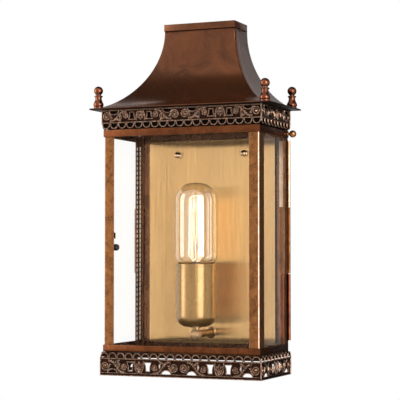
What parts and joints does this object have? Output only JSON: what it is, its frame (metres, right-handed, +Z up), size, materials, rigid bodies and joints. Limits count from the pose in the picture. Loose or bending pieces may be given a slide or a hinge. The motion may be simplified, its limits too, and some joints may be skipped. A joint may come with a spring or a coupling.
{
  "type": "wall light",
  "caption": "Half lantern for a wall: flared copper roof with corner finials, pierced galleries, a glazed cage that swings out on a side hinge, and a tubular lamp before a brass reflector.",
  "frame": {"origin": "on the wall face, midway between the two wall-screw holes", "axes": "+X to the right as seen by a viewer facing the wall, +Y into the wall, +Z up"},
  "size_m": [0.225, 0.1055, 0.4141],
  "materials": {
    "roof_copper": "dark antique copper",
    "gallery_bronze": "dark bronze with rubbed edges",
    "bright_copper": "bright antique copper",
    "cage_copper": "antique copper with speckled patina",
    "back_copper": "dark copper",
    "reflector_brass": "satin brass",
    "lamp_brass": "brushed brass",
    "hinge_brass": "polished brass",
    "holder_ceramic": "matte glaze",
    "cap_metal": "bright",
    "bulb_glass": "clear",
    "filament_wire": "bright wire",
    "pane_glass": "clear",
    "screw_black": "black"
  },
  "bodies": {
    "lantern": {"roof_shell": "roof_copper", "roof_cap": "roof_copper", "soffit_plate": "roof_copper", "upper_gallery_front": "gallery_bronze", "upper_gallery_left": "gallery_bronze", "upper_gallery_right": "gallery_bronze", "lower_gallery_front": "gallery_bronze", "lower_gallery_left": "gallery_bronze", "lower_gallery_right": "gallery_bronze", "finial_front_left": "bright_copper", "finial_front_right": "bright_copper", "finial_rear_left": "bright_copper", "finial_rear_right": "bright_copper", "lip_bottom": "bright_copper", "back_plate": "back_copper", "head_frame": "back_copper", "floor_tray": "back_copper", "hinge_knuckle_top": "back_copper", "hinge_knuckle_bottom": "back_copper", "reflector": "reflector_brass", "lamp_arm": "lamp_brass", "arm_flange": "lamp_brass", "arm_ball": "lamp_brass", "holder_nipple": "lamp_brass", "holder_cover": "lamp_brass", "reflector_studs": "lamp_brass", "reflector_nuts": "lamp_brass", "hinge_pin": "hinge_brass", "lip_top": "hinge_brass", "holder_insert": "holder_ceramic", "bulb_cap": "cap_metal", "bulb_glass": "bulb_glass", "bulb_stem": "bulb_glass", "bulb_filament": "filament_wire"},
    "cage": {"pull_plate": "bright_copper", "pull_knob": "bright_copper", "front_post_left": "cage_copper", "front_post_right": "cage_copper", "rear_stile_left": "cage_copper", "rear_stile_right": "cage_copper", "top_rail_front": "cage_copper", "top_rail_left": "cage_copper", "top_rail_right": "cage_copper", "bottom_rail_front": "cage_copper", "bottom_rail_left": "cage_copper", "bottom_rail_right": "cage_copper", "cage_knuckle": "cage_copper", "cage_lip": "cage_copper", "glass_clips": "cage_copper", "front_glass": "pane_glass", "left_glass": "pane_glass", "right_glass": "pane_glass", "clip_screws": "screw_black"}
  },
  "joints": [
    {"name": "cage_hinge", "type": "hinge", "parent": "lantern", "child": "cage", "pos_m": [-0.0993, -0.0027, 0], "axis": [0, 0, -1], "range_deg": [0, 90]}
  ]
}
